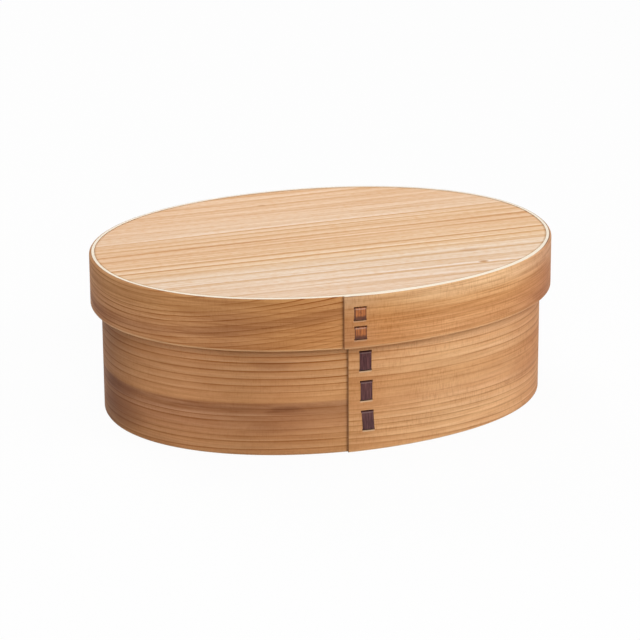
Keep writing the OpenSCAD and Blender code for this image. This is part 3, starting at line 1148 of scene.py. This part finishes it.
lidBoardLow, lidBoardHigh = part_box("lid_board")
lidBoard = {
    "name": "lidBoard",
    "node": "lid_board",
    "body": "lid",
    "slot": "board_cedar",
    "off": lidBoardHigh.x - bodyHigh.x,
    "low": lidBoardLow.z,
    "high": lidBoardHigh.z,
    "round": 0.05 * mm,
    "joint": 1.0 * mm,
    "steps": 240,
}
bottomLow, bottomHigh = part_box("bottom_board")
bottomBoard = {
    "name": "bottomBoard",
    "node": "bottom_board",
    "body": "box_body",
    "slot": "board_cedar",
    "off": bottomHigh.x - bodyHigh.x,
    "low": bottomLow.z,
    "high": bottomHigh.z,
    "round": 0.3 * mm,
    "joint": 1.0 * mm,
    "steps": 240,
}
lidBoardCedar = {
    "name": "lidBoardCedar",
    "seed": 6.0,
    "grainAxes": (0, 1, 2),
    "face": lidBoardHigh.z,
    "slant": 0.016,
    "fan": 0.6,
    "sway": 1.6 * mm,
    "depthSway": 0.5,
    "lineSharp": 0.3 * mm,
    "rings": (
        (-62 * mm, 0.3), (-54.2 * mm, 0.5), (-45.4 * mm, 0.7), (-37.5 * mm, 0.55), (-29.6 * mm, 0.55),
        (-22 * mm, 0.5), (-16.4 * mm, 1.0), (-11 * mm, 1.0), (-6.5 * mm, 0.4), (0.8 * mm, 0.7),
        (6.6 * mm, 0.95), (12 * mm, 0.6), (16.5 * mm, 0.6), (20.8 * mm, 1.0), (31 * mm, 0.25),
        (42.3 * mm, 0.3), (50 * mm, 0.3),
    ),
    # Tones across the board from front to back: the wood's own tones, with a painted sheen that pales its
    # front part.
    "tones": (
        (-66 * mm, (0.875, 0.67, 0.513, 1)),
        (-30 * mm, (0.885, 0.703, 0.537, 1)),
        (-19 * mm, (0.87, 0.624, 0.404, 1)),
        (0 * mm, (0.85, 0.574, 0.357, 1)),
        (16 * mm, (0.855, 0.586, 0.366, 1)),
        (24 * mm, (0.90, 0.668, 0.478, 1)),
        (38 * mm, (0.875, 0.606, 0.40, 1)),
        (66 * mm, (0.885, 0.596, 0.375, 1)),
    ),
    "lengthTonesAndShade": (
        (-90 * mm, (0.94, 0.91, 0.885, 1)),
        (0 * mm, (0.98, 0.975, 0.975, 1)),
        (90 * mm, (1.0, 1.0, 1.0, 1)),
    ),
    "lateTint": (0.76, 0.555, 0.30, 1),
    "paleTint": (1.06, 1.12, 1.22, 1),
    "cloudTint": (0.95, 0.90, 0.84, 1),
    "speckTint": (0.94, 0.82, 0.66, 1),
    "fleckTint": (0.60, 0.38, 0.19, 1),
    "flecks": (
        ((-9 * mm, 49.5 * mm), (2.2 * mm, 0.9 * mm), 0.45),
        ((48.9 * mm, -45.2 * mm), (2.6 * mm, 1.3 * mm), 1.0),
        ((49 * mm, -30.5 * mm), (5 * mm, 3 * mm), 0.3),
    ),
    "contrast": 0.95,
    "paleBand": 0.6,
    "paleLine": 0.6,
    "softBand": 0.14,
    "clouds": 0.5,
    "streaks": 0.2,
    "fineStreaks": 0.5,
    "paleStreaks": 0.6,
    "fibres": 0.12,
    "specks": 0.6,
    # Darkening at the joint with the strip: a glue line and painted shadow.
    "jointShade": 0.8,
    "jointGlueAndShadowTint": (0.66, 0.56, 0.45, 1),
    "roughness": 0.5,
    "specular": 0.15,
}
bottomBoardCedar = {
    **lidBoardCedar,
    "name": "bottomBoardCedar",
    "seed": 23.0,
    "face": bottomHigh.z,
    "slant": -0.012,
    "fan": 0.3,
    "flecks": (((-31 * mm, 12 * mm), (2.4 * mm, 0.9 * mm), 0.4),),
}
for board, look in ((lidBoard, lidBoardCedar), (bottomBoard, bottomBoardCedar)):
    finishPiece(ovalBoard(board), board, boardCedar(look))

dividerLow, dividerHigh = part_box("divider")
dividerBoard = {
    "name": "dividerBoard",
    "node": "divider",
    "body": "divider",
    "slot": "board_cedar",
    "round": 0.5 * mm,
    "topRound": 1.2 * mm,
}
dividerCedar = {
    **lidBoardCedar,
    "name": "dividerCedar",
    "seed": 57.0,
    "grainAxes": (1, 2, 0),
    "face": dividerHigh.x,
    "slant": 0.01,
    "fan": 0.0,
    "flecks": (),
}


def shapeDivider(board):
    # A thin board whose ends lean in towards the narrow end of the box.
    bm = bmesh.new()
    bmesh.ops.create_cube(bm, size=1)
    size = dividerHigh - dividerLow
    bmesh.ops.scale(bm, verts=bm.verts[:], vec=size)
    bmesh.ops.translate(bm, verts=bm.verts[:], vec=(dividerLow + dividerHigh) / 2)
    angle = frontAngle(dividerHigh.x)
    turn = 0.01  # a short way along the wall, which gives its slope there
    step = beside(angle, -bodyStrip["wall"]) - beside(angle - turn, -bodyStrip["wall"])
    lean = abs(step.y / step.x) * size.x
    for vert in bm.verts:
        if vert.co.x > dividerHigh.x - tiny:
            vert.co.y -= math.copysign(lean, vert.co.y)
    topEnds = [
        edge for edge in bm.edges
        if all(vert.co.z > dividerHigh.z - tiny for vert in edge.verts)
        and abs(edge.verts[0].co.x - edge.verts[1].co.x) > tiny
    ]
    bmesh.ops.bevel(
        bm, geom=topEnds, offset=board["topRound"], segments=5, profile=0.5, affect="EDGES", material=-1,
    )
    sharp = [edge for edge in bm.edges if edge.calc_face_angle() > sharpAngle]
    bmesh.ops.bevel(
        bm, geom=sharp, offset=board["round"], segments=3, profile=0.5, affect="EDGES", material=-1,
    )
    for face in bm.faces:
        face.smooth = True
    return bm


finishPiece(shapeDivider(dividerBoard), dividerBoard, boardCedar(dividerCedar))

studio = {
    "white": (1, 1, 1, 1),
    "floorRadius": 4.0,
    "floorSteps": 64,
    "floorWhite": 0.95,
    "floorColour": (0.82, 0.82, 0.82, 1),
    "worldGrey": 0.05,
    "lights": (
        ("keyLight", (0.927, -0.927, 0.918), 0.8, 7.0),
        ("frontLight", (-0.339, -1.266, 0.918), 0.8, 12.0),
        ("topLight", (0.0, 0.1, 1.6), 1.2, 8.5),
        ("backLight", (-0.3, 1.25, 1.1), 1.0, 9.0),
    ),
}


def seenWhite(root):
    # 1 for what the camera sees directly, in a polished surface or through a clear one
    seen = root.node("ShaderNodeLightPath", None, None, "Is Camera Ray")
    rays = seen.socket.node.outputs
    for name in ("Is Glossy Ray", "Is Transmission Ray"):
        seen = seen.larger(Wire(root.tree, rays[name]))
    return seen


def lightStudio(setup):
    material, root = newMaterial("paleFloor")
    plain = root.node("ShaderNodeBsdfDiffuse", None, {"Color": setup["floorColour"]})
    white = root.node("ShaderNodeEmission", None, {"Color": setup["white"], "Strength": 1.0})
    share = seenWhite(root) * setup["floorWhite"]
    seen = root.node("ShaderNodeMixShader", None, {0: share, 1: plain, 2: white})
    root.node("ShaderNodeOutputMaterial", None, {"Surface": seen})
    bm = bmesh.new()
    bmesh.ops.create_circle(bm, cap_ends=True, segments=setup["floorSteps"], radius=setup["floorRadius"])
    mesh = bpy.data.meshes.new("floor")
    bm.to_mesh(mesh)
    bm.free()
    mesh.materials.append(material)
    floor = bpy.data.objects.new("floor", mesh)
    scene.collection.objects.link(floor)

    world = bpy.data.worlds.new("studioWorld")
    world.use_nodes = True
    world.node_tree.nodes.clear()
    root = Wire(world.node_tree)
    strength = seenWhite(root) * (1 - setup["worldGrey"]) + setup["worldGrey"]
    background = root.node("ShaderNodeBackground", None, {"Color": setup["white"], "Strength": strength})
    root.node("ShaderNodeOutputWorld", None, {"Surface": background})
    scene.world = world

    for name, place, size, power in setup["lights"]:
        lamp = bpy.data.lights.new(name, "AREA")
        lamp.shape = "DISK"
        lamp.size = size
        lamp.energy = power
        light = bpy.data.objects.new(name, lamp)
        light.location = place
        light.rotation_euler = Vector(place).to_track_quat("Z", "Y").to_euler()
        scene.collection.objects.link(light)


lightStudio(studio)
print("floor, world and lights placed")
